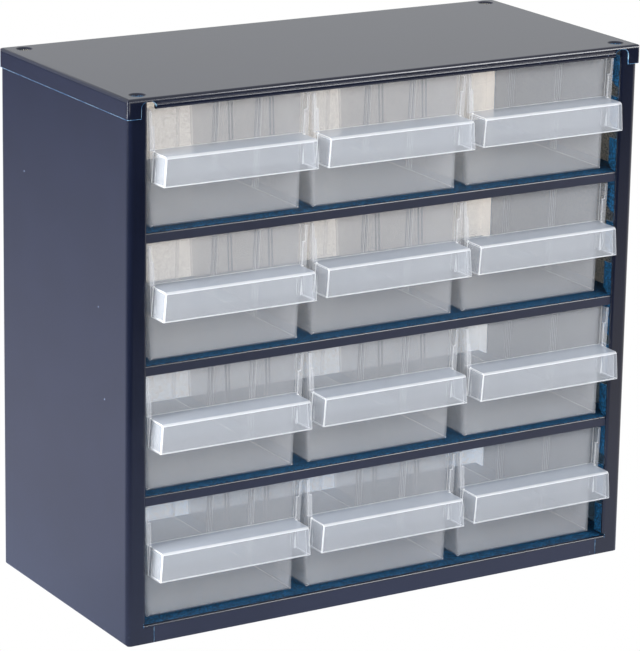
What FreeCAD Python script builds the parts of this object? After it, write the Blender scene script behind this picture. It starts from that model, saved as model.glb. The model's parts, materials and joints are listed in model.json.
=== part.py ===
"""Parts bin cabinet: a welded sheet-steel carcass with twelve moulded bins that slide out on its shelves.

Millimetres. +X is to the right, the bins open towards -Y and +Z is up. The origin is the middle of the
cabinet's foot-hole pattern, on the surface that the cabinet stands on.
"""
import FreeCAD, Part
import math
import os

# Cabinet, outside, without the bins' handles.
CABINET_WIDTH = 306.0
CABINET_DEPTH = 142.0
CABINET_HEIGHT = 283.0
ROWS = 4
COLUMNS = 3

# Sheet steel and its joints.
SHEET = 0.8
SEAM = 0.1
OVERRUN = 5.0

# Top cover: a pressed lid that slips over the carcass.
COVER_SKIRT = 10.2
COVER_FOLD = 2.0
COVER_CORNER = 1.8
COVER_LUG_WIDTH = 7.8
RELIEF_WIDTH = 8.2
RELIEF_RADIUS = 3.0
COVER_RAIL = 6.0
STEP_DEPTH = 0.45
STEP_START = 0.4
STEP_FLOOR = 1.1
STEP_END = 1.7
STEP_OUTER_ROUND = 1.1
STEP_INNER_ROUND = 0.3
ROLL_DEPTH = 2.8
ROLL_ROUND = 1.3
ROLL_RETURN = 2.0

# Screw holes in the cover and in the feet, so that cabinets can be stacked and screwed together.
HOLE_RADIUS = 2.9
HOLE_DIMPLE = 1.5
HOLE_INSET_X = 10.0
HOLE_INSET_Y = 9.0

# Side panels: one folded sheet each, with the front stile and its return.
STILE_WIDTH = 10.75
STILE_FOLD = 3.0
RETURN_FOLD = 1.6
RETURN_DEPTH = 8.0
RETURN_TOP_GAP = 3.5
FOOT_WIDTH = 15.5
FOOT_HEIGHT = 8.5
SIDE_REAR_SETBACK = 0.6
BOTTOM_EDGE_ROUND = 1.2
STEPS_PER_ROW = 3
NOTCH_LEAD_DEPTH = 4.0
NOTCH_LEAD_HEIGHT = 3.0

# Shelves and bottom panel.
BASE_HEIGHT = 10.0
SHELF_FOLD = 1.3
SHELF_LIP = 5.4
SHELF_LIP_SETBACK = 1.5
SHELF_TAB = 1.3
SHELF_REAR_FLANGE = 6.0

# Back panel and its two keyholes for hanging on a wall.
BACK_FLANGE = 8.0
BACK_FOLD = 1.6
KEYHOLE_SPACING = 200.0
KEYHOLE_DROP = 30.0
KEYHOLE_HEAD = 4.5
KEYHOLE_NECK = 2.3
KEYHOLE_LENGTH = 9.0

# Bins: one moulding each, open at the top, with a drafted body.
BIN_WALL = 1.3
BIN_GAP = 3.0
BIN_SIDE_DRAFT = 2.4
BIN_END_DRAFT = 1.2
BIN_CORNER = 3.0
BIN_BASE_ROUND = 2.6
BIN_RECESS = 6.7
BIN_HOME_GAP = 2.3
BIN_SEAT_GAP = 0.3
BIN_HEAD_GAP = 1.85
CHEEK_REACH = 3.4
HANDLE_REACH = 16.0
HANDLE_INSET = 1.9
HANDLE_FLARE = 1.1
HANDLE_TOP = 39.7
HANDLE_DEPTH = 15.4
HANDLE_ROUND = 1.6
LABEL_RIB_PROUD = 1.3
LABEL_RIB_THICK = 1.1
LABEL_RIB_DROP = 8.3
DIVIDER_SLOTS = 2
DIVIDER_GAP = 2.2
DIVIDER_RIB_THICK = 1.2
DIVIDER_RIB_PROUD = 1.2
DIVIDER_RIB_DROP = 2.5
STOP_GRIP = 1.5
STOP_LAND = 4.0
STOP_RAMP = 8.0
STOP_FROM_BACK = 22.0

# Where each bin was left, as shares of its play. Rows run from the top, columns from the left.
PULL_PLAY = 2.0
PULL_SHARES = ((0.1, 0.6, -0.3), (0.5, -0.5, -0.9), (0.1, -0.1, 0.8), (-0.4, 0.0, -0.4))
SIDE_SHARES = ((0.55, -0.3, -0.4), (0.35, 0.7, -0.3), (-0.3, 0.0, 0.7), (0.2, 0.1, 0.4))

# Places that follow from the sizes above.
HALF_WIDTH = CABINET_WIDTH / 2
HALF_DEPTH = CABINET_DEPTH / 2
PANEL_X = HALF_WIDTH - SHEET - SEAM
PANEL_FRONT = -HALF_DEPTH + SHEET + SEAM
PANEL_BACK = HALF_DEPTH - SHEET - SEAM
PANEL_TOP = CABINET_HEIGHT - COVER_FOLD - SEAM
SIDE_BACK = PANEL_BACK - SIDE_REAR_SETBACK
STILE_INNER_X = PANEL_X - STILE_WIDTH
RETURN_BACK = PANEL_FRONT + RETURN_DEPTH
FOOT_INNER_X = PANEL_X - FOOT_WIDTH
INSIDE_X = PANEL_X - SHEET - SEAM
BACK_PANEL_INNER = PANEL_BACK - SHEET
SHELF_BACK = BACK_PANEL_INNER - SEAM
LIP_FRONT = PANEL_FRONT + SHELF_LIP_SETBACK
ROW_PITCH = (CABINET_HEIGHT - BASE_HEIGHT) / ROWS
BAY_WIDTH = 2 * STILE_INNER_X
BIN_PITCH = BAY_WIDTH / COLUMNS
BIN_RIM_WIDTH = BIN_PITCH - BIN_GAP
BIN_HEIGHT = ROW_PITCH - SHELF_LIP - BIN_HEAD_GAP - BIN_SEAT_GAP
STOP_HEIGHT = BIN_HEAD_GAP + STOP_GRIP
BIN_FRONT = PANEL_FRONT + BIN_RECESS
BIN_DEPTH = BACK_PANEL_INNER - BIN_HOME_GAP - BIN_FRONT
SIDE_PLAY = BIN_GAP / 2


def on_xy(z):
    """Drawing plane level with the floor, at height z."""
    return lambda a, b: FreeCAD.Vector(a, b, z)


def on_xz(y):
    """Drawing plane that faces the front, at depth y."""
    return lambda a, b: FreeCAD.Vector(a, y, b)


def on_yz(x):
    """Drawing plane that faces the side, at x."""
    return lambda a, b: FreeCAD.Vector(x, a, b)


def heading(start, end):
    """Unit direction from one drawn point to another."""
    length = math.dist(start, end)
    return (end[0] - start[0]) / length, (end[1] - start[1]) / length


def beside(point, way, shift):
    """The point moved to the left of a direction by shift."""
    return point[0] - way[1] * shift, point[1] + way[0] * shift


def bend(before, corner, after, radius, shift):
    """Start, middle and end of a rounded corner, on the line shifted to the left by shift.

    The arc keeps the centre of the unshifted line, so two shifts of one line bound an even sheet.
    """
    way_in = heading(before, corner)
    way_out = heading(corner, after)
    turn = math.atan2(
        way_in[0] * way_out[1] - way_in[1] * way_out[0],
        way_in[0] * way_out[0] + way_in[1] * way_out[1],
    )
    side = math.copysign(1, turn)
    reach = radius * math.tan(abs(turn) / 2)
    tangent = (corner[0] - way_in[0] * reach, corner[1] - way_in[1] * reach)
    centre = beside(tangent, way_in, side * radius)
    half_way = (math.cos(turn / 2), math.sin(turn / 2))
    way_middle = (
        way_in[0] * half_way[0] - way_in[1] * half_way[1],
        way_in[0] * half_way[1] + way_in[1] * half_way[0],
    )
    out = shift - side * radius
    return [beside(centre, way, out) for way in (way_in, way_middle, way_out)]


def mitre(before, corner, after, shift):
    """Sharp corner of the line that is shifted to the left by shift."""
    way_in = heading(before, corner)
    way_out = heading(corner, after)
    share = 1 / (1 + way_in[0] * way_out[0] + way_in[1] * way_out[1])
    both = ((way_in[0] + way_out[0]) * share, (way_in[1] + way_out[1]) * share)
    return beside(corner, both, shift)


def straight(start, end, place):
    """Edge between two drawn points."""
    return Part.makeLine(place(*start), place(*end))


def curved(points, place):
    """Arc edge through three drawn points."""
    return Part.Arc(*[place(*point) for point in points]).toShape()


def bent_line(path, radii, shift, place):
    """Edges of an open line with rounded corners, or sharp where a radius is 0, with its start and end."""
    start = beside(path[0], heading(path[0], path[1]), shift)
    edges = []
    at = start
    for before, corner, after, radius in zip(path, path[1:], path[2:], radii):
        if radius:
            arc = bend(before, corner, after, radius, shift)
            edges.append(straight(at, arc[0], place))
            edges.append(curved(arc, place))
            at = arc[2]
        else:
            point = mitre(before, corner, after, shift)
            edges.append(straight(at, point, place))
            at = point
    end = beside(path[-1], heading(path[-2], path[-1]), shift)
    edges.append(straight(at, end, place))
    return edges, start, end


def bent_sheet(path, radii, thickness, place):
    """Cut face of a folded sheet. path is one skin, and the metal lies to its left."""
    skin, start, end = bent_line(path, radii, 0, place)
    other, other_start, other_end = bent_line(path, radii, thickness, place)
    ends = [straight(start, other_start, place), straight(end, other_end, place)]
    return Part.Face(Part.Wire(Part.__sortEdges__(skin + other + ends)))


def rounded_face(corners, radii, place):
    """Flat face inside a closed outline. A radius of 0 leaves its corner sharp."""
    count = len(corners)
    stops = []
    for index, radius in enumerate(radii):
        corner = corners[index]
        if radius:
            before = corners[index - 1]
            after = corners[(index + 1) % count]
            stops.append(bend(before, corner, after, radius, 0))
        else:
            stops.append([corner])
    edges = []
    for here, following in zip(stops, stops[1:] + stops[:1]):
        if len(here) == 3:
            edges.append(curved(here, place))
        edges.append(straight(here[-1], following[0], place))
    return Part.Face(Part.Wire(Part.__sortEdges__(edges)))


def block(low, high):
    """Plain box between two corners."""
    size = [b - a for a, b in zip(low, high)]
    return Part.makeBox(*size, FreeCAD.Vector(*low))


def along_x(face, length):
    """Face drawn square to X, pushed along X."""
    return face.extrude(FreeCAD.Vector(length, 0, 0))


def along_y(face, length):
    """Face drawn square to Y, pushed along Y."""
    return face.extrude(FreeCAD.Vector(0, length, 0))


def along_z(face, length):
    """Face drawn square to Z, pushed along Z."""
    return face.extrude(FreeCAD.Vector(0, 0, length))


def mirrored(shape):
    """The same piece for the other side of the cabinet."""
    return shape.mirror(FreeCAD.Vector(0, 0, 0), FreeCAD.Vector(1, 0, 0))


def hole_places():
    """Centres of the four screw holes."""
    return [
        (side * (HALF_WIDTH - HOLE_INSET_X), end * (HALF_DEPTH - HOLE_INSET_Y))
        for side in (-1, 1)
        for end in (-1, 1)
    ]


def lid_block(inset, low):
    """Block with a rounded crown and rounded upright corners, inset from the cabinet's outside."""
    half_width = HALF_WIDTH - inset
    half_depth = HALF_DEPTH - inset
    top = CABINET_HEIGHT - inset
    crown = COVER_FOLD - inset
    corner = COVER_CORNER - inset
    front = ((-half_width, low), (half_width, low), (half_width, top), (-half_width, top))
    side = ((-half_depth, low), (half_depth, low), (half_depth, top), (-half_depth, top))
    plan = (
        (-half_width, -half_depth),
        (half_width, -half_depth),
        (half_width, half_depth),
        (-half_width, half_depth),
    )
    across = along_y(rounded_face(front, (0, 0, crown, crown), on_xz(-HALF_DEPTH)), CABINET_DEPTH)
    along = along_x(rounded_face(side, (0, 0, crown, crown), on_yz(-HALF_WIDTH)), CABINET_WIDTH)
    upright = along_z(rounded_face(plan, (corner,) * len(plan), on_xy(low)), CABINET_HEIGHT - low)
    return across.common(along).common(upright).Solids[0]


def cover_rail(half_length):
    """Rolled front edge of the lid between its corner reliefs: a small step back, then a roll under."""
    fold_end = CABINET_HEIGHT - COVER_FOLD
    bottom = CABINET_HEIGHT - COVER_RAIL
    front = -HALF_DEPTH
    roll_back = front + ROLL_DEPTH
    path = (
        (front, fold_end),
        (front, fold_end - STEP_START),
        (front + STEP_DEPTH, fold_end - STEP_FLOOR),
        (front, fold_end - STEP_END),
        (front, bottom),
        (roll_back, bottom),
        (roll_back, bottom + ROLL_RETURN),
    )
    radii = (STEP_OUTER_ROUND, STEP_INNER_ROUND, STEP_OUTER_ROUND, ROLL_ROUND, ROLL_ROUND)
    section = bent_sheet(path, radii, SHEET, on_yz(-half_length))
    return along_x(section, 2 * half_length)


def top_cover():
    """Pressed lid with corner lugs, relief notches, a rolled front rail and four dimpled screw holes."""
    skirt_end = CABINET_HEIGHT - COVER_SKIRT
    lid = lid_block(0, skirt_end).cut(lid_block(SHEET, skirt_end - OVERRUN))
    rail_half = HALF_WIDTH - COVER_LUG_WIDTH - RELIEF_WIDTH
    relief_top = CABINET_HEIGHT - COVER_FOLD
    window = block(
        (-rail_half, -HALF_DEPTH - OVERRUN, skirt_end - OVERRUN),
        (rail_half, -HALF_DEPTH + COVER_FOLD, relief_top),
    )
    lug_inner = HALF_WIDTH - COVER_LUG_WIDTH
    below = skirt_end - OVERRUN
    relief = rounded_face(
        ((rail_half, below), (lug_inner, below), (lug_inner, relief_top), (rail_half, relief_top)),
        (0, 0, RELIEF_RADIUS, RELIEF_RADIUS),
        on_xz(-HALF_DEPTH - OVERRUN),
    )
    relief = along_y(relief, OVERRUN + COVER_FOLD)
    lid = lid.cut([window, relief, mirrored(relief)])
    lid = lid.fuse(cover_rail(rail_half))
    dimple_radius = HOLE_RADIUS + HOLE_DIMPLE
    dimple_floor = CABINET_HEIGHT - HOLE_DIMPLE
    dimple = rounded_face(
        (
            (HOLE_RADIUS, dimple_floor - SHEET),
            (dimple_radius, CABINET_HEIGHT - SHEET),
            (dimple_radius, CABINET_HEIGHT),
            (HOLE_RADIUS, dimple_floor),
        ),
        (0,) * 4,
        on_xz(0),
    )
    dimple = dimple.revolve(FreeCAD.Vector(0, 0, 0), FreeCAD.Vector(0, 0, 1), 360)
    for x, y in hole_places():
        punch = Part.makeCylinder(dimple_radius, COVER_SKIRT, FreeCAD.Vector(x, y, PANEL_TOP))
        lid = lid.cut(punch).fuse(dimple.translated(FreeCAD.Vector(x, y, 0)))
    return lid.removeSplitter()


def notch(shelf_z):
    """Cut-out in a stile's return for a shelf's front lip, with a lead at its upper back corner."""
    back = RETURN_BACK + OVERRUN
    front = PANEL_FRONT + RETURN_FOLD
    low = shelf_z - SHELF_LIP - SEAM
    high = shelf_z + SEAM
    slope_end = RETURN_BACK - NOTCH_LEAD_DEPTH
    face = rounded_face(
        (
            (back, low),
            (front, low),
            (front, high),
            (slope_end, high),
            (RETURN_BACK, high + NOTCH_LEAD_HEIGHT),
            (back, high + NOTCH_LEAD_HEIGHT),
        ),
        (0,) * 6,
        on_yz(STILE_INNER_X - SHEET),
    )
    return along_x(face, SHEET + SHEET + SHEET / 2)


def base_slot():
    """Slot above the foot that takes the rolled front edge of the bottom panel."""
    end = STILE_INNER_X + RETURN_FOLD
    low = FOOT_HEIGHT
    high = BASE_HEIGHT + SHELF_FOLD - SEAM
    start = FOOT_INNER_X - OVERRUN
    radius = (high - low) / 2 - SEAM / 2
    front_face = rounded_face(
        ((start, low), (end, low), (end, high), (start, high)),
        (0, radius, radius, 0),
        on_xz(PANEL_FRONT - OVERRUN),
    )
    return along_y(front_face, OVERRUN + RETURN_DEPTH + OVERRUN)


def foot_rounding():
    """Waste outside the rounded fold between the side wall and its foot flange."""
    away = PANEL_X + OVERRUN
    inside = PANEL_X - OVERRUN
    face = rounded_face(
        (
            (away, -OVERRUN),
            (away, OVERRUN),
            (PANEL_X, OVERRUN),
            (PANEL_X, 0),
            (inside, 0),
            (inside, -OVERRUN),
        ),
        (0, 0, 0, BOTTOM_EDGE_ROUND, 0, 0),
        on_xz(-CABINET_DEPTH),
    )
    return along_y(face, 2 * CABINET_DEPTH)


def right_side_panel():
    """Side wall, front stile and its return as one folded sheet, with a foot and shelf notches."""
    section = bent_sheet(
        (
            (STILE_INNER_X, RETURN_BACK),
            (STILE_INNER_X, PANEL_FRONT),
            (PANEL_X, PANEL_FRONT),
            (PANEL_X, SIDE_BACK),
        ),
        (RETURN_FOLD, STILE_FOLD),
        SHEET,
        on_xy(0),
    )
    panel = along_z(section, PANEL_TOP)
    panel = panel.cut(
        block(
            (FOOT_INNER_X, PANEL_FRONT - OVERRUN, -OVERRUN),
            (PANEL_X - STILE_FOLD, RETURN_BACK + OVERRUN, FOOT_HEIGHT),
        )
    )
    panel = panel.cut(
        block(
            (STILE_INNER_X - OVERRUN, PANEL_FRONT + RETURN_FOLD, PANEL_TOP - RETURN_TOP_GAP),
            (STILE_INNER_X + RETURN_FOLD, RETURN_BACK + OVERRUN, CABINET_HEIGHT),
        )
    )
    foot = block(
        (FOOT_INNER_X, PANEL_FRONT, 0), (PANEL_X - STILE_FOLD, PANEL_FRONT + SHEET, FOOT_HEIGHT)
    )
    flange = rounded_face(
        (
            (FOOT_INNER_X, PANEL_FRONT),
            (PANEL_X, PANEL_FRONT),
            (PANEL_X, SIDE_BACK),
            (FOOT_INNER_X, SIDE_BACK),
        ),
        (0, STILE_FOLD, 0, 0),
        on_xy(0),
    )
    panel = panel.fuse([foot, along_z(flange, SHEET)]).removeSplitter()
    panel = panel.cut(foot_rounding())
    notches = [
        notch(CABINET_HEIGHT - step * ROW_PITCH / STEPS_PER_ROW)
        for step in range(1, ROWS * STEPS_PER_ROW)
    ]
    holes = [
        Part.makeCylinder(HOLE_RADIUS, OVERRUN, FreeCAD.Vector(x, y, -OVERRUN / 2))
        for x, y in hole_places()
        if x > 0
    ]
    return panel.cut(notches + holes + [base_slot()]).removeSplitter()


def shelf_plan(front, tab_back):
    """Outline of a shelf seen from above: narrow tabs in the stiles, full width between the side walls."""
    tab = STILE_INNER_X + SHELF_TAB
    neck = INSIDE_X - BACK_FOLD
    neck_front = BACK_PANEL_INNER - BACK_FLANGE - SEAM
    half = (
        (tab, front),
        (tab, tab_back),
        (INSIDE_X, tab_back),
        (INSIDE_X, neck_front),
        (neck, neck_front),
        (neck, SHELF_BACK + OVERRUN),
    )
    other = tuple((-x, y) for x, y in reversed(half))
    corners = half + other
    return rounded_face(corners, (0,) * len(corners), on_xy(-OVERRUN))


def shelf(top_z):
    """Flat shelf with a folded front lip and a rear flange that is welded to the back panel."""
    section = bent_sheet(
        (
            (SHELF_BACK, top_z - SHELF_REAR_FLANGE),
            (SHELF_BACK, top_z),
            (LIP_FRONT, top_z),
            (LIP_FRONT, top_z - SHELF_LIP),
        ),
        (SHELF_FOLD, SHELF_FOLD),
        SHEET,
        on_yz(-HALF_WIDTH),
    )
    blank = along_x(section, CABINET_WIDTH)
    plan = along_z(shelf_plan(LIP_FRONT - OVERRUN, RETURN_BACK + SEAM), CABINET_HEIGHT + 2 * OVERRUN)
    return blank.common(plan).removeSplitter()


def bottom_panel():
    """Floor of the lowest row. Its front edge folds down between the side panels' feet."""
    section = bent_sheet(
        (
            (SHELF_BACK, SHEET + SEAM),
            (SHELF_BACK, BASE_HEIGHT),
            (PANEL_FRONT, BASE_HEIGHT),
            (PANEL_FRONT, 0),
        ),
        (SHELF_FOLD, SHELF_FOLD),
        SHEET,
        on_yz(-HALF_WIDTH),
    )
    blank = along_x(section, CABINET_WIDTH)
    plan = along_z(shelf_plan(PANEL_FRONT - OVERRUN, RETURN_BACK + SEAM), CABINET_HEIGHT + 2 * OVERRUN)
    panel = blank.common(plan)
    foot_gap = block(
        (FOOT_INNER_X - SEAM, PANEL_FRONT - OVERRUN, -OVERRUN),
        (HALF_WIDTH, RETURN_BACK, FOOT_HEIGHT + SEAM),
    )
    return panel.cut([foot_gap, mirrored(foot_gap)]).removeSplitter()


def keyhole(x):
    """Keyhole for a wall screw: a round head opening with a narrow slot above it."""
    head_z = CABINET_HEIGHT - KEYHOLE_DROP
    start = FreeCAD.Vector(x, PANEL_BACK - OVERRUN, head_z)
    depth = 2 * OVERRUN
    head = Part.makeCylinder(KEYHOLE_HEAD, depth, start, FreeCAD.Vector(0, 1, 0))
    end = start + FreeCAD.Vector(0, 0, KEYHOLE_LENGTH)
    neck_end = Part.makeCylinder(KEYHOLE_NECK, depth, end, FreeCAD.Vector(0, 1, 0))
    neck = block(
        (x - KEYHOLE_NECK, PANEL_BACK - OVERRUN, head_z),
        (x + KEYHOLE_NECK, PANEL_BACK + OVERRUN, head_z + KEYHOLE_LENGTH),
    )
    return head.fuse([neck_end, neck])


def back_panel():
    """Rear sheet with side flanges that are welded inside the side walls."""
    section = bent_sheet(
        (
            (INSIDE_X, BACK_PANEL_INNER - BACK_FLANGE),
            (INSIDE_X, PANEL_BACK),
            (-INSIDE_X, PANEL_BACK),
            (-INSIDE_X, BACK_PANEL_INNER - BACK_FLANGE),
        ),
        (BACK_FOLD, BACK_FOLD),
        SHEET,
        on_xy(SHEET + SEAM),
    )
    panel = along_z(section, PANEL_TOP - SHEET - SEAM)
    keyholes = [keyhole(side * KEYHOLE_SPACING / 2) for side in (-1, 1)]
    return panel.cut(keyholes).removeSplitter()


def bin_half_width(z):
    """Half of a bin's outer width at a height above its base."""
    return BIN_RIM_WIDTH / 2 - BIN_SIDE_DRAFT * (1 - z / BIN_HEIGHT)


def bin_front(z):
    """Depth of a bin's outer front face at a height, from the foot of that face."""
    return BIN_END_DRAFT * z / BIN_HEIGHT


def side_profile(low, high, inset):
    """Corners of the outline between the bin's drafted sides, seen from the front."""
    low_half = bin_half_width(low) - inset
    high_half = bin_half_width(high) - inset
    return (-low_half, low), (low_half, low), (high_half, high), (-high_half, high)


def end_profile(low, high, inset):
    """Corners of the outline between the bin's drafted front and back, seen from the side."""
    length = BIN_DEPTH - BIN_END_DRAFT - 2 * inset
    low_front = bin_front(low) + inset
    high_front = bin_front(high) + inset
    return (low_front, low), (low_front + length, low), (high_front + length, high), (high_front, high)


def drafted_block(low, high, inset, base):
    """Tapered block inside a bin's outer faces, with the edges round its base rounded."""
    radii = (base, base, 0, 0)
    sides = rounded_face(side_profile(low, high, inset), radii, on_xz(-HANDLE_REACH))
    ends = rounded_face(end_profile(low, high, inset), radii, on_yz(-BIN_RIM_WIDTH))
    sides = along_y(sides, BIN_DEPTH + 2 * HANDLE_REACH)
    ends = along_x(ends, 2 * BIN_RIM_WIDTH)
    return sides.common(ends).Solids[0]


def round_uprights(shape, radius):
    """Rounds the four upright corners of a tapered block."""
    upright = [edge for edge in shape.Edges if edge.BoundBox.ZLength > BIN_HEIGHT / 2]
    return shape.makeFillet(radius, upright)


def side_slab(inset, thickness, front, back):
    """Slab that lies in the right side wall's slope, between two depths."""
    ring = (
        (bin_half_width(0) - inset, 0),
        (bin_half_width(BIN_HEIGHT + STOP_HEIGHT) - inset, BIN_HEIGHT + STOP_HEIGHT),
        (bin_half_width(BIN_HEIGHT + STOP_HEIGHT) - inset - thickness, BIN_HEIGHT + STOP_HEIGHT),
        (bin_half_width(0) - inset - thickness, 0),
    )
    return along_y(rounded_face(ring, (0,) * len(ring), on_xz(front)), back - front)


def in_side_wall(corners, inset, thickness):
    """Part of the side wall's slab inside an outline drawn in depth and height, on both sides of the bin."""
    front = min(point[0] for point in corners)
    back = max(point[0] for point in corners)
    outline = along_x(rounded_face(corners, (0,) * len(corners), on_yz(0)), BIN_RIM_WIDTH)
    piece = side_slab(inset, thickness, front, back).common(outline)
    return [piece, mirrored(piece)]


def handle_half_width(z):
    """Half of the handle's outer width, which grows a little towards its open underside."""
    return bin_half_width(HANDLE_TOP) - HANDLE_INSET + HANDLE_FLARE * (HANDLE_TOP - z) / HANDLE_DEPTH


def handle_block(low, high, inset, back, edge_round):
    """Block inside the handle's outer faces, with its upper front edge rounded."""
    low_half = handle_half_width(low) - inset
    high_half = handle_half_width(high) - inset
    front = -HANDLE_REACH + inset
    ends = ((-low_half, low), (low_half, low), (high_half, high), (-high_half, high))
    ends = along_y(rounded_face(ends, (0, 0, 0, 0), on_xz(front)), back - front)
    across = ((front, low), (back, low), (back, high), (front, high))
    across = along_x(rounded_face(across, (0, 0, 0, edge_round), on_yz(-low_half)), 2 * low_half)
    return ends.common(across).Solids[0]


def handle():
    """Pull across the bin's front: top plate, front plate and two ends, hollow and open below."""
    low = HANDLE_TOP - HANDLE_DEPTH
    outer = handle_block(low, HANDLE_TOP, 0, bin_front(HANDLE_TOP) + BIN_WALL / 2, HANDLE_ROUND)
    cavity = handle_block(low - BIN_WALL, HANDLE_TOP - BIN_WALL, BIN_WALL, bin_front(low), 0)
    return outer.cut(cavity)


def drawer_bin():
    """One moulded bin, standing on z = 0 with the foot of its front face at y = 0."""
    outer = round_uprights(drafted_block(0, BIN_HEIGHT, 0, 0), BIN_CORNER)
    outer = outer.common(drafted_block(0, BIN_HEIGHT, 0, BIN_BASE_ROUND))
    inner = drafted_block(BIN_WALL, BIN_HEIGHT + BIN_WALL, BIN_WALL, 0)
    inner = round_uprights(inner, BIN_CORNER - BIN_WALL)
    low = HANDLE_TOP - HANDLE_DEPTH
    front_band = drafted_block(low, BIN_HEIGHT, 0, 0).cut(
        block(
            (-BIN_RIM_WIDTH, BIN_CORNER, 0), (BIN_RIM_WIDTH, BIN_DEPTH + OVERRUN, BIN_HEIGHT + OVERRUN)
        )
    )
    cheeks = in_side_wall(
        ((BIN_CORNER, low), (-CHEEK_REACH, low), (-CHEEK_REACH, BIN_HEIGHT), (BIN_CORNER, BIN_HEIGHT)),
        0,
        BIN_WALL,
    )
    rib_top = BIN_HEIGHT - LABEL_RIB_DROP
    rib_front = -CHEEK_REACH
    rib_back = rib_front + LABEL_RIB_THICK
    rib_low = HANDLE_TOP - BIN_WALL / 2
    root_back = bin_front(low) + BIN_WALL / 2
    handle_roots = in_side_wall(
        ((root_back, low), (-CHEEK_REACH, low), (-CHEEK_REACH, HANDLE_TOP), (root_back, HANDLE_TOP)),
        0,
        BIN_WALL + LABEL_RIB_PROUD,
    )
    label_ribs = in_side_wall(
        ((rib_back, rib_low), (rib_front, rib_low), (rib_front, rib_top), (rib_back, rib_top)),
        BIN_WALL,
        LABEL_RIB_PROUD,
    )
    divider_ribs = []
    for slot in range(DIVIDER_SLOTS):
        middle = BIN_DEPTH * (slot + 1) / (DIVIDER_SLOTS + 1)
        for side in (-1, 1):
            near = middle + side * DIVIDER_GAP / 2
            far = near + side * DIVIDER_RIB_THICK
            top = BIN_HEIGHT - DIVIDER_RIB_DROP
            ring = ((near, BIN_BASE_ROUND), (far, BIN_BASE_ROUND), (far, top), (near, top))
            divider_ribs += in_side_wall(ring, BIN_WALL, DIVIDER_RIB_PROUD)
    catch = BIN_DEPTH - STOP_FROM_BACK
    stops = in_side_wall(
        (
            (catch, BIN_HEIGHT - BIN_WALL),
            (catch, BIN_HEIGHT + STOP_HEIGHT),
            (catch + STOP_LAND, BIN_HEIGHT + STOP_HEIGHT),
            (catch + STOP_LAND + STOP_RAMP, BIN_HEIGHT - BIN_WALL),
        ),
        0,
        BIN_WALL,
    )
    shell = outer.fuse([front_band]).cut(inner)
    details = cheeks + handle_roots + label_ribs + divider_ribs + stops
    return shell.fuse([handle()] + details).removeSplitter()


def write(shape, name):
    """Saves one piece under its node's name."""
    solids = len(shape.Solids)
    print(f"{name}: {solids} solid, valid {shape.isValid()}, {shape.Volume / 1000:.2f} cm3")
    shape.exportStep(f"parts/{name}.step")


def build():
    """Makes every piece of the cabinet in its place."""
    os.makedirs("parts", exist_ok=True)
    write(top_cover(), "top_cover")
    right = right_side_panel()
    write(right, "right_side_panel")
    write(mirrored(right), "left_side_panel")
    write(back_panel(), "back_panel")
    write(bottom_panel(), "bottom_panel")
    for row in range(1, ROWS):
        write(shelf(CABINET_HEIGHT - row * ROW_PITCH), f"shelf_{row}")
    pattern = drawer_bin()
    for row in range(ROWS):
        for column in range(COLUMNS):
            pull = PULL_SHARES[row % len(PULL_SHARES)][column % len(PULL_SHARES[0])] * PULL_PLAY
            side = SIDE_SHARES[row % len(SIDE_SHARES)][column % len(SIDE_SHARES[0])] * SIDE_PLAY
            place = FreeCAD.Vector(
                (column - (COLUMNS - 1) / 2) * BIN_PITCH + side,
                BIN_FRONT - pull,
                CABINET_HEIGHT - (row + 1) * ROW_PITCH + BIN_SEAT_GAP,
            )
            write(pattern.translated(place), f"bin_r{row + 1}_c{column + 1}")


build()
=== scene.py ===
import bpy
import bmesh
import json
import math
from mathutils import Matrix, Vector


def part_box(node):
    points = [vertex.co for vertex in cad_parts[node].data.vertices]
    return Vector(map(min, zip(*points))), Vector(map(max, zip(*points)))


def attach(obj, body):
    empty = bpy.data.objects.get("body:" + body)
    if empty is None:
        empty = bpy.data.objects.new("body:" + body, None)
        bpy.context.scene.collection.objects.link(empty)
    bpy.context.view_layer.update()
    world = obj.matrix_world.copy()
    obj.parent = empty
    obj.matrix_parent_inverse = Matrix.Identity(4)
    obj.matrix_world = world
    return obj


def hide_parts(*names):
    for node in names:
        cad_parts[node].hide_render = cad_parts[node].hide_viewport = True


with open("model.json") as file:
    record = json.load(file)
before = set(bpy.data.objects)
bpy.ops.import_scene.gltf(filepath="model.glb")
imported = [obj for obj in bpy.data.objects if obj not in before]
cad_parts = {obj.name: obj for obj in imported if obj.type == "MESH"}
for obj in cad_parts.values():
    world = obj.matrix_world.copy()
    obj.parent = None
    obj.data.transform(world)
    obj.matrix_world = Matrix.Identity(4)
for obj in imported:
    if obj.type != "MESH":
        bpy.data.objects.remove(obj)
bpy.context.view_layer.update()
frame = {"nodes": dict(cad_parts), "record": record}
scene = bpy.context.scene
scene.view_settings.view_transform = "Standard"


# Camera
# A long lens to the left of the front and a little above the cabinet.
# Its place and turn were fitted to the corners of the cabinet and the bins in the photograph.
IMAGE_WIDTH = 640
IMAGE_HEIGHT = 651
FOCAL_PIXELS = 3445.9
MIDDLE_PIXEL = (321.0, 255.0)
CAMERA_AT = Vector((-0.9163, -1.5112, 0.6448))
CAMERA_YAW = -0.5455
CAMERA_PITCH = -0.2626
CAMERA_ROLL = 0.0174
SENSOR_MM = 36.0
CLIP_START = 0.05


def add_object(name, data):
    """New object at the origin of the scene."""
    made = bpy.data.objects.new(name, data)
    bpy.context.collection.objects.link(made)
    return made


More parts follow.
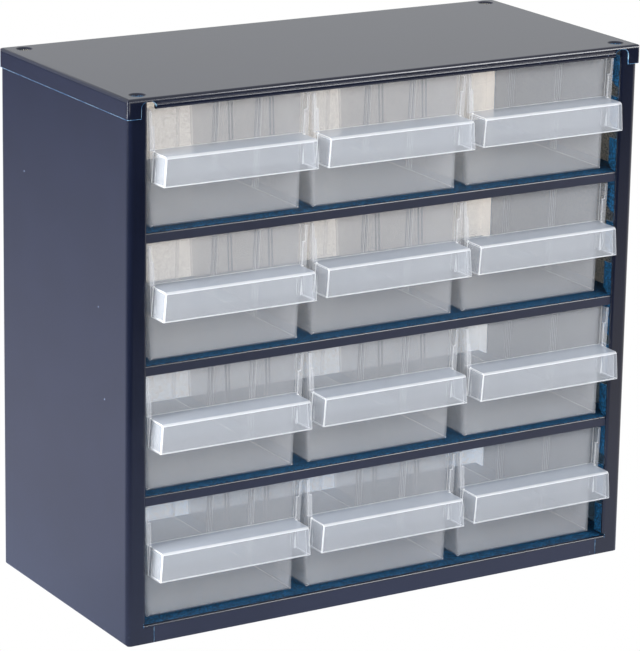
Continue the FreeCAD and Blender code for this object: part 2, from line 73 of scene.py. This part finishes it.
ahead = Vector(
    (
        math.sin(-CAMERA_YAW) * math.cos(CAMERA_PITCH),
        math.cos(CAMERA_YAW) * math.cos(CAMERA_PITCH),
        math.sin(CAMERA_PITCH),
    )
)
level_right = ahead.cross(Vector((0, 0, 1))).normalized()
level_up = level_right.cross(ahead)
view_right = math.cos(CAMERA_ROLL) * level_right + math.sin(CAMERA_ROLL) * level_up
view_up = math.cos(CAMERA_ROLL) * level_up - math.sin(CAMERA_ROLL) * level_right
camera_data = bpy.data.cameras.new("camera")
camera_data.sensor_width = SENSOR_MM
camera_data.lens = FOCAL_PIXELS * SENSOR_MM / IMAGE_HEIGHT
camera_data.shift_x = (IMAGE_WIDTH / 2 - MIDDLE_PIXEL[0]) / IMAGE_HEIGHT
camera_data.shift_y = (MIDDLE_PIXEL[1] - IMAGE_HEIGHT / 2) / IMAGE_HEIGHT
camera_data.clip_start = CLIP_START
camera = add_object("camera", camera_data)
turn = Matrix((view_right, view_up, -ahead)).transposed()
camera.matrix_world = Matrix.Translation(CAMERA_AT) @ turn.to_4x4()
scene.camera = camera


# Paint on the outside
# Dark blue powder coat with a low orange peel, faint clouding and a few pits.
# It is rougher on the folded lips, and painted a lighter blue there as a painted highlight.
PAINT_CLOUDS = 35.0
PAINT_PITS = 140.0
PIT_PATCHES = 70.0
ORANGE_PEEL = 900.0


def new_material(name):
    """Empty node material with its Principled shader."""
    material = bpy.data.materials.new(name)
    material.use_nodes = True
    return material, material.node_tree, material.node_tree.nodes["Principled BSDF"]


def colour(code):
    """Linear colour of a hexadecimal sRGB code."""
    parts = [int(code[i : i + 2], 16) / 255 for i in (0, 2, 4)]
    linear = [c / 12.92 if c <= 0.04045 else ((c + 0.055) / 1.055) ** 2.4 for c in parts]
    return (*linear, 1.0)


def add_node(tree, kind, **settings):
    """Node with its settings; a setting whose name is a socket fills that socket."""
    node = tree.nodes.new(kind)
    for key, value in settings.items():
        if hasattr(node, key):
            setattr(node, key, value)
        else:
            node.inputs[key.replace("_", " ")].default_value = value
    return node


def maths(tree, operation, first, second=None):
    """Maths node on sockets or numbers; gives its output."""
    node = add_node(tree, "ShaderNodeMath", operation=operation)
    for index, value in enumerate((first, second)):
        if value is None:
            continue
        if hasattr(value, "links"):
            tree.links.new(value, node.inputs[index])
        else:
            node.inputs[index].default_value = value
    return node.outputs[0]


def ramp(tree, factor, low, high, out_low=0.0, out_high=1.0, course="SMOOTHSTEP"):
    """Step of a factor between two values, smooth unless its course is given."""
    node = add_node(tree, "ShaderNodeMapRange", interpolation_type=course)
    tree.links.new(factor, node.inputs["Value"])
    node.inputs["From Min"].default_value = low
    node.inputs["From Max"].default_value = high
    node.inputs["To Min"].default_value = out_low
    node.inputs["To Max"].default_value = out_high
    return node.outputs["Result"]


def blend_colours(tree, factor, first, second):
    """Mix of two colours or colour sockets."""
    node = add_node(tree, "ShaderNodeMix", data_type="RGBA")
    tree.links.new(factor, node.inputs["Factor"])
    for index, value in ((6, first), (7, second)):
        if hasattr(value, "links"):
            tree.links.new(value, node.inputs[index])
        else:
            node.inputs[index].default_value = value
    return node.outputs[2]


def place_in_object(tree):
    """The point's place in the object, in metres."""
    return tree.nodes.new("ShaderNodeTexCoord").outputs["Object"]


def noise(tree, place, scale, detail=2.0, roughness=0.5):
    """Noise value at a place."""
    node = add_node(tree, "ShaderNodeTexNoise", Scale=scale, Detail=detail, Roughness=roughness)
    tree.links.new(place, node.inputs["Vector"])
    return node.outputs["Fac"]


def bump(tree, shader, height, strength, distance):
    """Fine relief on a shader."""
    node = add_node(tree, "ShaderNodeBump", Strength=strength, Distance=distance)
    tree.links.new(height, node.inputs["Height"])
    tree.links.new(node.outputs["Normal"], shader.inputs["Normal"])


def outside_paint(name, base, darker, roughness):
    """Glossy coat between two close blues, with rare pale pits."""
    material, tree, shader = new_material(name)
    place = place_in_object(tree)
    clouds = ramp(tree, noise(tree, place, PAINT_CLOUDS, 3.0), 0.3, 0.7)
    body = blend_colours(tree, clouds, base, darker)
    pits = add_node(tree, "ShaderNodeTexVoronoi", feature="F1", Scale=PAINT_PITS, Randomness=1.0)
    tree.links.new(place, pits.inputs["Vector"])
    rare = ramp(tree, noise(tree, place, PIT_PATCHES, 0.0), 0.72, 0.73)
    pit = maths(tree, "MULTIPLY", ramp(tree, pits.outputs["Distance"], 0.03, 0.06, 1.0, 0.0), rare)
    body = blend_colours(tree, pit, body, colour("8fa0bd"))
    tree.links.new(body, shader.inputs["Base Color"])
    shader.inputs["Roughness"].default_value = roughness
    bump(tree, shader, noise(tree, place, ORANGE_PEEL, 2.0), 0.05, 0.0001)
    return material


paint = outside_paint("paint", colour("121728"), colour("101525"), 0.17)
# Lip paint: a lighter blue than the coat, a painted highlight for the light the lips catch.
lip_paint_highlight = outside_paint("lip_paint_highlight", colour("191f34"), colour("161c30"), 0.45)


# Paint inside
# The coat thins out behind the front folds, so bare steel shows between its grains there, bluer low down.
# The shelves keep more of it, and their coat and steel are painted darker as painted shade under the bins.
# The side walls' steel is painted darker as painted shade. The back panel's steel is painted pale, and the
# panel gives off light: painted light in place of what the milky bins scatter.
GRAIN = 1250.0
COAT_PATCHES = 160.0
PATCH_REACH = 0.006
BLUER_BELOW = 0.03
WARM_ABOVE = 0.17


def inside_paint(name, blue, pale_grain, bare, low_bare, dark_grain, thin_start, thin_end, glow):
    """Speckled coat that gives way to speckled steel between two places along Y."""
    material, tree, shader = new_material(name)
    place = place_in_object(tree)
    spot = add_node(tree, "ShaderNodeSeparateXYZ")
    tree.links.new(place, spot.inputs[0])
    grain = noise(tree, place, GRAIN, 2.0, 0.6)
    patches = noise(tree, place, COAT_PATCHES, 3.0)
    reach = maths(tree, "ADD", spot.outputs["Y"], maths(tree, "MULTIPLY", patches, PATCH_REACH))
    thin = ramp(tree, reach, thin_start, thin_end)
    speckled = blend_colours(tree, ramp(tree, grain, 0.47, 0.58), blue, pale_grain)
    bared = blend_colours(tree, ramp(tree, spot.outputs["Z"], BLUER_BELOW, WARM_ABOVE), low_bare, bare)
    steel = blend_colours(tree, ramp(tree, grain, 0.42, 0.52), dark_grain, bared)
    body = blend_colours(tree, thin, speckled, steel)
    tree.links.new(body, shader.inputs["Base Color"])
    # Painted light: the body colour is also given off as light, at the glow strength.
    tree.links.new(body, shader.inputs["Emission Color"])
    shader.inputs["Emission Strength"].default_value = glow
    tree.links.new(ramp(tree, grain, 0.3, 0.7, 0.5, 0.7), shader.inputs["Roughness"])
    shader.inputs["Specular IOR Level"].default_value = 0.25
    bump(tree, shader, grain, 0.3, 0.0002)
    return material


# Side walls: their bare steel is painted darker as painted shade, with a faint glow of painted light.
side_inside_painted_shade = inside_paint(
    "side_inside_painted_shade",
    blue=colour("06253e"),
    pale_grain=colour("1d6796"),
    bare=colour("9a958a"),
    low_bare=colour("5d7789"),
    dark_grain=colour("2a3840"),
    thin_start=-0.060,
    thin_end=-0.044,
    glow=0.05,
)
# Back panel: its bare steel is painted pale and gives off light at the glow strength, as painted light.
back_inside_painted_light = inside_paint(
    "back_inside_painted_light",
    blue=colour("06253e"),
    pale_grain=colour("1d6796"),
    bare=colour("f2e8db"),
    low_bare=colour("c9dbef"),
    dark_grain=colour("d6cdc0"),
    thin_start=-0.060,
    thin_end=-0.044,
    glow=0.7,
)
# Shelves: coat and steel painted darker, a painted shade in place of the bins' shadow.
shelf_paint_painted_shade = inside_paint(
    "shelf_paint_painted_shade",
    blue=colour("082946"),
    pale_grain=colour("22648f"),
    bare=colour("5c7a94"),
    low_bare=colour("43708f"),
    dark_grain=colour("1f3d56"),
    thin_start=-0.05,
    thin_end=0.06,
    glow=0.0,
)


# Cut edges
# The sheets are sheared and notched before they are coated.
# The sharp edges are painted a brighter, speckled blue: partly thin coat, partly a painted highlight.
EDGE_WEAR_AND_HIGHLIGHT = 400.0
edge_paint_and_highlight, edge_tree, edge_shader = new_material("edge_paint_and_highlight")
edge_place = place_in_object(edge_tree)
edge_worn_and_highlight = ramp(edge_tree, noise(edge_tree, edge_place, EDGE_WEAR_AND_HIGHLIGHT, 3.0), 0.4, 0.65)
edge_tree.links.new(
    blend_colours(edge_tree, edge_worn_and_highlight, colour("3a76a8"), colour("a5cbe2")), edge_shader.inputs["Base Color"]
)
edge_shader.inputs["Roughness"].default_value = 0.35


# Bin plastic
# Natural polypropylene, injection moulded: half clear and cool grey, with lit and shaded copies by the way
# each face turns, which are painted light.
# The edges and the rounded front-top faces are painted near white and more opaque: milkier plastic and a
# painted highlight. The handle and level faces are painted more opaque and bluer as painted light, and the
# rear faces clearer in place of the light that comes through them.
PLASTIC_CLOUDS = 45.0
PLASTIC_RIPPLE = 260.0
PLASTIC_IOR = 1.49


def bin_plastic(name, tint, paler, opacity, roughness):
    """Half clear plastic between two close greys."""
    material, tree, shader = new_material(name)
    place = place_in_object(tree)
    cloud = ramp(tree, noise(tree, place, PLASTIC_CLOUDS, 3.0), 0.25, 0.75)
    tree.links.new(blend_colours(tree, cloud, tint, paler), shader.inputs["Base Color"])
    shader.inputs["Alpha"].default_value = opacity
    shader.inputs["Roughness"].default_value = roughness
    shader.inputs["IOR"].default_value = PLASTIC_IOR
    bump(tree, shader, noise(tree, place, PLASTIC_RIPPLE, 2.0), 0.05, 0.0003)
    return material


plastic = bin_plastic("bin_plastic", colour("e1e4e9"), colour("dde0e6"), 0.27, 0.25)
# Painted highlights and painted light: copies of the plastic for edges, roundings, level, handle and rear
# faces.
plastic_edge_highlight = bin_plastic("bin_edge_painted_highlight", colour("f4f5f7"), colour("eef0f3"), 0.9, 0.2)
plastic_round_highlight = bin_plastic("bin_round_painted_highlight", colour("e9ecf1"), colour("e3e7ed"), 0.6, 0.3)
plastic_level_painted_light = bin_plastic("bin_level_painted_light", colour("dbe4f1"), colour("d5dfed"), 0.5, 0.25)
plastic_handle_painted_light = bin_plastic("bin_handle_painted_light", colour("dce3ec"), colour("d7dee8"), 0.31, 0.25)
plastic_rear_painted_light = bin_plastic("bin_rear_painted_light", colour("e1e4e9"), colour("dde0e6"), 0.12, 0.25)


# Sheet-metal pieces
# Folded and welded steel sheets. Each takes its node's own shape.
# The folds are shaded round and the cut edges are rounded and painted a brighter blue, partly thin coat and
# partly a painted highlight.
SHEET = 0.0008
ROOM_X = 0.1512
ROOM_FRONT = -0.0683
ROOM_BACK = 0.0694
ROOM_TOP = 0.2823
ROOM_FLOOR = 0.0005
PROBE = 0.0007
PAINT_SLOT = 0
INSIDE_SLOT = 1
EDGE_SLOT = 2
LIP_SLOT = 3
FACET = 0.008
NARROWEST_CUT = 0.80 * SHEET
WIDEST_CUT = 1.02 * SHEET
THICKNESS_MARGIN = 0.01 * SHEET
EDGE_TOP = 0.2812
EDGE_WIDTH = 0.00022
SHARP = math.radians(35)
SAME_PLANE = math.radians(0.5)
SAME_CORNER = 2e-6


def joined_mesh(node):
    """The node's mesh with shared corners joined and flat faces made whole."""
    mesh = bmesh.new()
    mesh.from_mesh(frame["nodes"][node].data)
    bmesh.ops.remove_doubles(mesh, verts=mesh.verts, dist=SAME_CORNER)
    bmesh.ops.dissolve_limit(
        mesh, angle_limit=SAME_PLANE, verts=mesh.verts, edges=mesh.edges, delimit={"NORMAL"}
    )
    return mesh


def soften(piece, width, edge_slot):
    """Rounds a piece's weighted edges and shades its folds smooth and its flats flat."""
    for face in piece.data.polygons:
        face.use_smooth = True
    bevel = piece.modifiers.new("edges", "BEVEL")
    bevel.width = width
    bevel.segments = 2
    bevel.limit_method = "WEIGHT"
    bevel.material = edge_slot
    bevel.harden_normals = True
    bevel.use_clamp_overlap = False
    weigh = piece.modifiers.new("normals", "WEIGHTED_NORMAL")
    weigh.mode = "FACE_AREA"
    weigh.weight = 100
    weigh.keep_sharp = True
    depsgraph = bpy.context.evaluated_depsgraph_get()
    done = bpy.data.meshes.new_from_object(piece.evaluated_get(depsgraph))
    piece.modifiers.clear()
    piece.data = done


def in_room(point):
    """Whether a point is inside the cabinet, behind its front sheets."""
    return abs(point.x) < ROOM_X and ROOM_FRONT < point.y < ROOM_BACK and ROOM_FLOOR < point.z < ROOM_TOP


def is_cut(face):
    """Whether a face is a strip as narrow as the sheet is thick, or a facet of a curved one."""
    width = 2 * face.calc_area() / face.calc_perimeter()
    across = [edge for edge in face.edges if abs(edge.calc_length() - SHEET) < THICKNESS_MARGIN]
    is_facet = len(across) == 2 and face.calc_perimeter() < FACET
    return is_facet or NARROWEST_CUT < width < WIDEST_CUT


def finish_slot(face, has_lip):
    """Material slot for a face of a sheet-metal piece."""
    if is_cut(face):
        return EDGE_SLOT
    if in_room(face.calc_center_median() + face.normal * PROBE):
        return INSIDE_SLOT
    # The lips' front faces take the lighter lip paint, a painted highlight.
    if has_lip and face.normal.y < -0.99:
        return LIP_SLOT
    return PAINT_SLOT


def is_bared_and_highlit(edge):
    """Whether an edge is a cut edge on the outside, whose rounding takes the brighter edge paint: thin coat
    and a painted highlight.
    """
    slots = {face.material_index for face in edge.link_faces}
    if slots != {EDGE_SLOT, PAINT_SLOT} or max(corner.co.z for corner in edge.verts) > EDGE_TOP:
        return False
    return edge.calc_face_angle() > SHARP


def inside_finish(node):
    """Finish that a sheet has inside the cabinet."""
    if node.startswith(("shelf", "bottom")):
        return shelf_paint_painted_shade
    return back_inside_painted_light if node.startswith("back") else side_inside_painted_shade


def sheet_piece(node, has_lip):
    """Painted copy of a sheet-metal node."""
    mesh = joined_mesh(node)
    data = bpy.data.meshes.new(node + "_sheet")
    for face in mesh.faces:
        face.material_index = finish_slot(face, has_lip)
    weight = mesh.edges.layers.float.new("bevel_weight_edge")
    for edge in mesh.edges:
        edge.smooth = edge.calc_face_angle() < SHARP
        edge[weight] = float(is_bared_and_highlit(edge))
    mesh.to_mesh(data)
    mesh.free()
    for material in (paint, inside_finish(node), edge_paint_and_highlight, lip_paint_highlight):
        data.materials.append(material)
    piece = add_object(node + "_painted", data)
    soften(piece, EDGE_WIDTH, EDGE_SLOT)
    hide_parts(node)
    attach(piece, "carcass")


for node in frame["record"]["behaviour"]["bodies"]["carcass"]:
    sheet_piece(node, node.startswith(("shelf", "bottom")))


# Bins
# One moulding with soft edges, milky and with a painted highlight, copied to each bin's place.
# The front with its handle is a piece of its own, because it alone shades what is below and behind it.
BIN_ROWS = 4
BIN_COLUMNS = 3
PATTERN = "bin_r1_c1"
INNER_EDGE = 0.28
FRONT_BACK = 0.0195
HANDLE_BACK = 0.0126
HANDLE_TOP = 0.0399
BIN_EDGE_WIDTH = 0.00028
MILKY_HIGHLIGHT_SLOT = 1
LEVEL_SLOT = 2
HANDLE_SLOT = 3
REAR_SLOT = 4
ROUND_SLOT = 5
TOWARDS = 0.9
SLANTED = 0.3
pattern_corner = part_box(PATTERN)[0]
pattern_mesh = joined_mesh(PATTERN)
# Each face takes its lit or shaded copy of the plastic by the way it turns: painted light.
for face in pattern_mesh.faces:
    place = face.calc_center_median() - pattern_corner
    if face.normal.y < -SLANTED and face.normal.z > SLANTED:
        face.material_index = ROUND_SLOT
    elif max(face.normal.x, face.normal.y, -face.normal.z) > TOWARDS:
        face.material_index = REAR_SLOT
    elif place.y < HANDLE_BACK and place.z < HANDLE_TOP:
        face.material_index = LEVEL_SLOT if face.normal.z > TOWARDS else HANDLE_SLOT
weight = pattern_mesh.edges.layers.float.new("bevel_weight_edge")
for edge in pattern_mesh.edges:
    place = (edge.verts[0].co + edge.verts[1].co) / 2 - pattern_corner
    if edge.calc_face_angle() > SHARP:
        edge[weight] = 1.0 if place.y < HANDLE_BACK and place.z < HANDLE_TOP else INNER_EDGE
pattern_data = bpy.data.meshes.new("bin_pattern")
pattern_mesh.to_mesh(pattern_data)
pattern_mesh.free()
for material in (plastic, plastic_edge_highlight, plastic_level_painted_light, plastic_handle_painted_light, plastic_rear_painted_light, plastic_round_highlight):
    pattern_data.materials.append(material)
pattern_piece = add_object("bin_pattern", pattern_data)
soften(pattern_piece, BIN_EDGE_WIDTH, MILKY_HIGHLIGHT_SLOT)


def part_of_pattern(is_front):
    """Copy of the pattern's mesh with only its front and handle, or with all the rest."""
    mesh = bmesh.new()
    mesh.from_mesh(pattern_piece.data)
    others = []
    for face in mesh.faces:
        place = face.calc_center_median() - pattern_corner
        if (place.y < FRONT_BACK) != is_front:
            others.append(face)
    bmesh.ops.delete(mesh, geom=others, context="FACES")
    data = pattern_piece.data.copy()
    mesh.to_mesh(data)
    mesh.free()
    return data


def bin_piece(node, name, pattern, has_shadow):
    """One part of a bin in its place."""
    data = pattern.copy()
    data.transform(Matrix.Translation(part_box(node)[0] - pattern_corner))
    piece = add_object(name, data)
    piece.visible_shadow = has_shadow
    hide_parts(node)
    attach(piece, node)


front_pattern = part_of_pattern(True)
tray_pattern = part_of_pattern(False)
for row in range(1, BIN_ROWS + 1):
    for column in range(1, BIN_COLUMNS + 1):
        node = f"bin_r{row}_c{column}"
        bin_piece(node, node + "_front", front_pattern, True)
        bin_piece(node, node + "_tray", tray_pattern, False)
bpy.data.objects.remove(pattern_piece)


# Floor
# Pale and plain, and it keeps the cabinet's shadow.
# What the glossy paint mirrors of it is tinted from left to right and fades away from the cabinet.
FLOOR_SIZE = 12.0
FLOOR_DROP = 0.0003
floor_mesh = bpy.data.meshes.new("floor")
half = FLOOR_SIZE / 2
floor_corners = [(-half, -half, 0), (half, -half, 0), (half, half, 0), (-half, half, 0)]
floor_mesh.from_pydata(floor_corners, [], [(0, 1, 2, 3)])
floor = add_object("floor", floor_mesh)
floor.location.z = -FLOOR_DROP
floor_material = bpy.data.materials.new("floor")
floor_material.use_nodes = True
tree = floor_material.node_tree
tree.nodes.clear()
output = tree.nodes.new("ShaderNodeOutputMaterial")
diffuse = add_node(tree, "ShaderNodeBsdfDiffuse", Color=(0.6, 0.6, 0.61, 1.0))
seen_white = add_node(tree, "ShaderNodeEmission", Color=(1, 1, 1, 1), Strength=1.0)
mirrored_white = add_node(tree, "ShaderNodeEmission")
spot = add_node(tree, "ShaderNodeSeparateXYZ")
tree.links.new(place_in_object(tree), spot.inputs[0])
slant = maths(tree, "ADD", spot.outputs["Y"], maths(tree, "MULTIPLY", spot.outputs["X"], 0.55))
front_fade = ramp(tree, slant, -0.60, -0.05, 0.0, 1.05, "LINEAR")
back_fade = ramp(tree, spot.outputs["Y"], 0.25, 1.79, 1.05, 0.0, "LINEAR")
tree.links.new(maths(tree, "MINIMUM", front_fade, back_fade), mirrored_white.inputs["Strength"])
leftness = ramp(tree, spot.outputs["X"], -0.25, -0.1, 0.0, 1.0)
rightness = ramp(tree, spot.outputs["X"], 0.0, 0.35, 0.0, 1.0)
tint = blend_colours(tree, leftness, (0.80, 0.83, 1.04, 1.0), (0.85, 0.95, 1.3, 1.0))
tint = blend_colours(tree, rightness, tint, (1.0, 0.97, 0.98, 1.0))
tree.links.new(tint, mirrored_white.inputs["Color"])
light_path = tree.nodes.new("ShaderNodeLightPath")
glossy_mix = tree.nodes.new("ShaderNodeMixShader")
tree.links.new(light_path.outputs["Is Glossy Ray"], glossy_mix.inputs[0])
tree.links.new(diffuse.outputs[0], glossy_mix.inputs[1])
tree.links.new(mirrored_white.outputs[0], glossy_mix.inputs[2])
seen = maths(tree, "MAXIMUM", light_path.outputs["Is Camera Ray"], light_path.outputs["Is Transmission Ray"])
camera_mix = tree.nodes.new("ShaderNodeMixShader")
tree.links.new(seen, camera_mix.inputs[0])
tree.links.new(glossy_mix.outputs[0], camera_mix.inputs[1])
tree.links.new(seen_white.outputs[0], camera_mix.inputs[2])
tree.links.new(camera_mix.outputs[0], output.inputs["Surface"])
floor.data.materials.append(floor_material)


# Studio light
# A pale room with a soft box on the right, which the folds mirror as thin lines.
# Softer lights stand in front and on the left.
world = bpy.data.worlds.new("studio")
scene.world = world
world.use_nodes = True
tree = world.node_tree
tree.nodes.clear()
output = tree.nodes.new("ShaderNodeOutputWorld")
room = add_node(tree, "ShaderNodeBackground", Color=(0.97, 0.98, 1.0, 1), Strength=0.6)
mirrored_room = add_node(tree, "ShaderNodeBackground", Color=(0.95, 0.97, 1.0, 1), Strength=0.75)
backdrop = add_node(tree, "ShaderNodeBackground", Color=(1, 1, 1, 1), Strength=1.0)
light_path = tree.nodes.new("ShaderNodeLightPath")
glossy_mix = tree.nodes.new("ShaderNodeMixShader")
tree.links.new(light_path.outputs["Is Glossy Ray"], glossy_mix.inputs[0])
tree.links.new(room.outputs[0], glossy_mix.inputs[1])
tree.links.new(mirrored_room.outputs[0], glossy_mix.inputs[2])
mix = tree.nodes.new("ShaderNodeMixShader")
tree.links.new(light_path.outputs["Is Camera Ray"], mix.inputs[0])
tree.links.new(glossy_mix.outputs[0], mix.inputs[1])
tree.links.new(backdrop.outputs[0], mix.inputs[2])
tree.links.new(mix.outputs[0], output.inputs["Surface"])


def soft_light(name, place, size, power):
    """Square area light turned to the cabinet."""
    data = bpy.data.lights.new(name, "AREA")
    data.shape = "SQUARE"
    data.size = size
    data.energy = power
    light = add_object(name, data)
    light.location = place
    light.rotation_euler = (Vector(LIT_PLACE) - Vector(place)).to_track_quat("-Z", "Y").to_euler()


LIT_PLACE = (0, 0, 0.12)
soft_light("box", (0.85, -1.2, 0.87), 0.5, 12.0)
soft_light("front", (-0.1, -2.0, 1.0), 1.2, 9.0)
soft_light("left", (-1.3, 0.0, 0.5), 0.8, 36.0)
